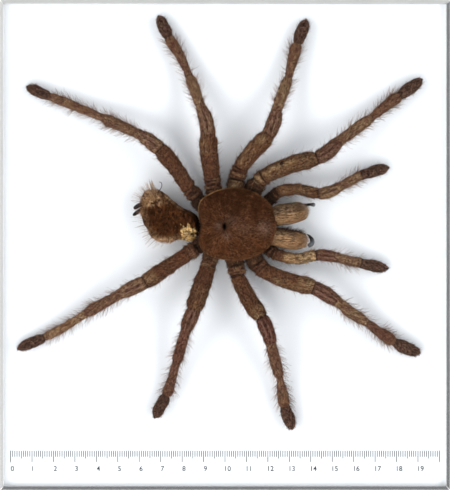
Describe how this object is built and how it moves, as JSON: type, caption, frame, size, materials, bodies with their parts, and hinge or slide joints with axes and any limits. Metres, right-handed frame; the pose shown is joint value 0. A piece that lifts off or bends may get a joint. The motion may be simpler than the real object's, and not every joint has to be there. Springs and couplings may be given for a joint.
{
  "type": "framed tarantula specimen",
  "caption": "Dried tarantula laid out with its legs spread on a white board with a printed centimetre scale, in a low mitred metal frame.",
  "frame": {"origin": "middle of the frame's underside, as it lies on its back", "axes": "+Z out of the picture face, +Y to the top edge of the frame, +X to the right, the way the spider's head points"},
  "size_m": [0.2098, 0.2284, 0.0275],
  "materials": {
    "rail": "satin grey, mitred",
    "board": "matt white paper face with a printed grey centimetre scale",
    "carapace": "dried shell with short brown down, dark grooves and a tan margin",
    "abdomen": "shrunken dark brown skin with tan fur at the edges",
    "jaw": "combed olive and tan hair in stripes",
    "leg": "brown velvet with pale bald stripes and long fine bristles",
    "fang": "glossy black horn",
    "spinneret": "dark matt"
  },
  "bodies": {
    "root": {"frame_rail_top": "rail", "frame_rail_bottom": "rail", "frame_rail_left": "rail", "frame_rail_right": "rail", "backing_board": "board", "cephalothorax": "carapace", "abdomen": "abdomen", "spinneret_upper": "spinneret", "spinneret_lower": "spinneret", "chelicera_left": "jaw", "chelicera_right": "jaw", "fang_left": "fang", "fang_right": "fang", "pedipalp_left": "leg", "pedipalp_right": "leg", "leg_1_left": "leg", "leg_2_left": "leg", "leg_3_left": "leg", "leg_4_left": "leg", "leg_1_right": "leg", "leg_2_right": "leg", "leg_3_right": "leg", "leg_4_right": "leg"}
  },
  "joints": []
}
